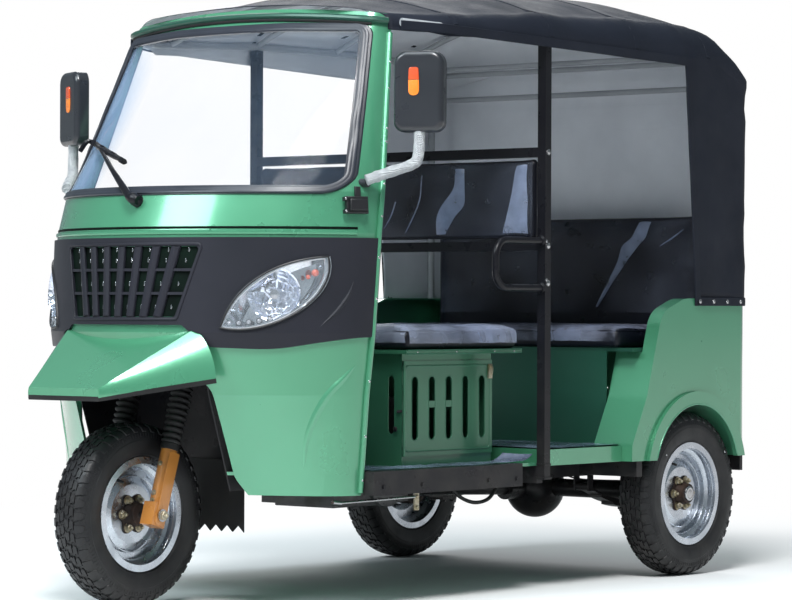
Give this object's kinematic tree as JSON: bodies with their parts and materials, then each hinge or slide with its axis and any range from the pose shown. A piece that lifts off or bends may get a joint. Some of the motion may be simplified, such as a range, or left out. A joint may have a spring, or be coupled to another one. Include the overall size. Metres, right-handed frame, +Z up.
{
  "type": "auto rickshaw",
  "caption": "Three-wheeled passenger vehicle with a steel cab, curved windscreen, fabric canopy over open sides, bench seats and a steered front wheel.",
  "frame": {"origin": "on the ground, at the middle of the overall length and width", "axes": "+Z up; the nose points to -Y; the vehicle's left side is +X"},
  "size_m": [1.5614, 2.576, 1.9258],
  "materials": {
    "green_paint": "semi-gloss metallic",
    "mask_grey": "satin",
    "black_paint": "semi-gloss",
    "mirror_black": "gloss",
    "lens_clear": "clear moulded",
    "lamp_bowl": "bright reflector",
    "lens_red": "clear moulded",
    "screen_glass": "clear",
    "rubber_black": "matte",
    "tyre_rubber": "matte",
    "rim_silver": "silver semi-gloss",
    "hub_dark": "semi-gloss",
    "fork_orange": "gloss",
    "bolt_zinc": "plated",
    "canopy_fabric": "coated cloth, slightly glossy",
    "black_vinyl": "smooth artificial leather",
    "engine_metal": "cast",
    "exhaust_steel": "dull"
  },
  "bodies": {
    "chassis": {"backrests": "black_vinyl", "cab_shell": "green_paint", "canopy": "canopy_fabric", "chassis_frame": "black_paint", "dashboard": "mask_grey", "engine_block": "engine_metal", "exhaust": "exhaust_steel", "floor_pan": "green_paint", "front_mask": "mask_grey", "front_mudguard": "green_paint", "headlamp_bowls": "lamp_bowl", "headlamp_lenses": "lens_clear", "leaf_springs": "black_paint", "mirrors": "mirror_black", "mudflap": "rubber_black", "partition_frame": "black_paint", "propeller_shaft": "black_paint", "rear_axle": "black_paint", "rear_panel": "green_paint", "rear_seat_base": "green_paint", "roof_frame": "black_paint", "seat_box": "green_paint", "seat_cushions": "black_vinyl", "side_panels": "green_paint", "tail_lamps": "lens_red", "wheel_well": "green_paint", "windscreen": "screen_glass", "windscreen_seal": "rubber_black", "wiper": "black_paint"},
    "steering": {"fork_legs": "fork_orange", "fork_springs": "rubber_black", "fork_crown": "black_paint", "front_axle": "bolt_zinc", "handlebar": "black_paint"},
    "front_wheel": {"front_tyre": "tyre_rubber", "front_rim": "rim_silver", "front_hub": "hub_dark"},
    "rear_left_wheel": {"rear_left_tyre": "tyre_rubber", "rear_left_rim": "rim_silver", "rear_left_hub": "hub_dark"},
    "rear_right_wheel": {"rear_right_tyre": "tyre_rubber", "rear_right_rim": "rim_silver", "rear_right_hub": "hub_dark"},
    "box_door_left": {"box_door_left": "green_paint"},
    "box_door_right": {"box_door_right": "green_paint"}
  },
  "joints": [
    {"name": "steering_turn", "type": "hinge", "parent": "chassis", "child": "steering", "pos_m": [0, -0.97308, 0.25447], "axis": [0, 0.3007, 0.9537], "range_deg": [-35, 35]},
    {"name": "front_wheel_spin", "type": "hinge", "parent": "steering", "child": "front_wheel", "pos_m": [0, -1.016, 0.268], "axis": [1, 0, 0], "continuous": true},
    {"name": "rear_left_wheel_spin", "type": "hinge", "parent": "chassis", "child": "rear_left_wheel", "pos_m": [0.584, 0.966, 0.268], "axis": [1, 0, 0], "continuous": true},
    {"name": "rear_right_wheel_spin", "type": "hinge", "parent": "chassis", "child": "rear_right_wheel", "pos_m": [-0.584, 0.966, 0.268], "axis": [1, 0, 0], "continuous": true},
    {"name": "box_door_left_swing", "type": "hinge", "parent": "chassis", "child": "box_door_left", "pos_m": [0.4553, -0.299, 0.569], "axis": [0, 0, -1], "range_deg": [0, 100]},
    {"name": "box_door_right_swing", "type": "hinge", "parent": "chassis", "child": "box_door_right", "pos_m": [-0.4553, -0.299, 0.569], "axis": [0, 0, 1], "range_deg": [0, 100]}
  ]
}
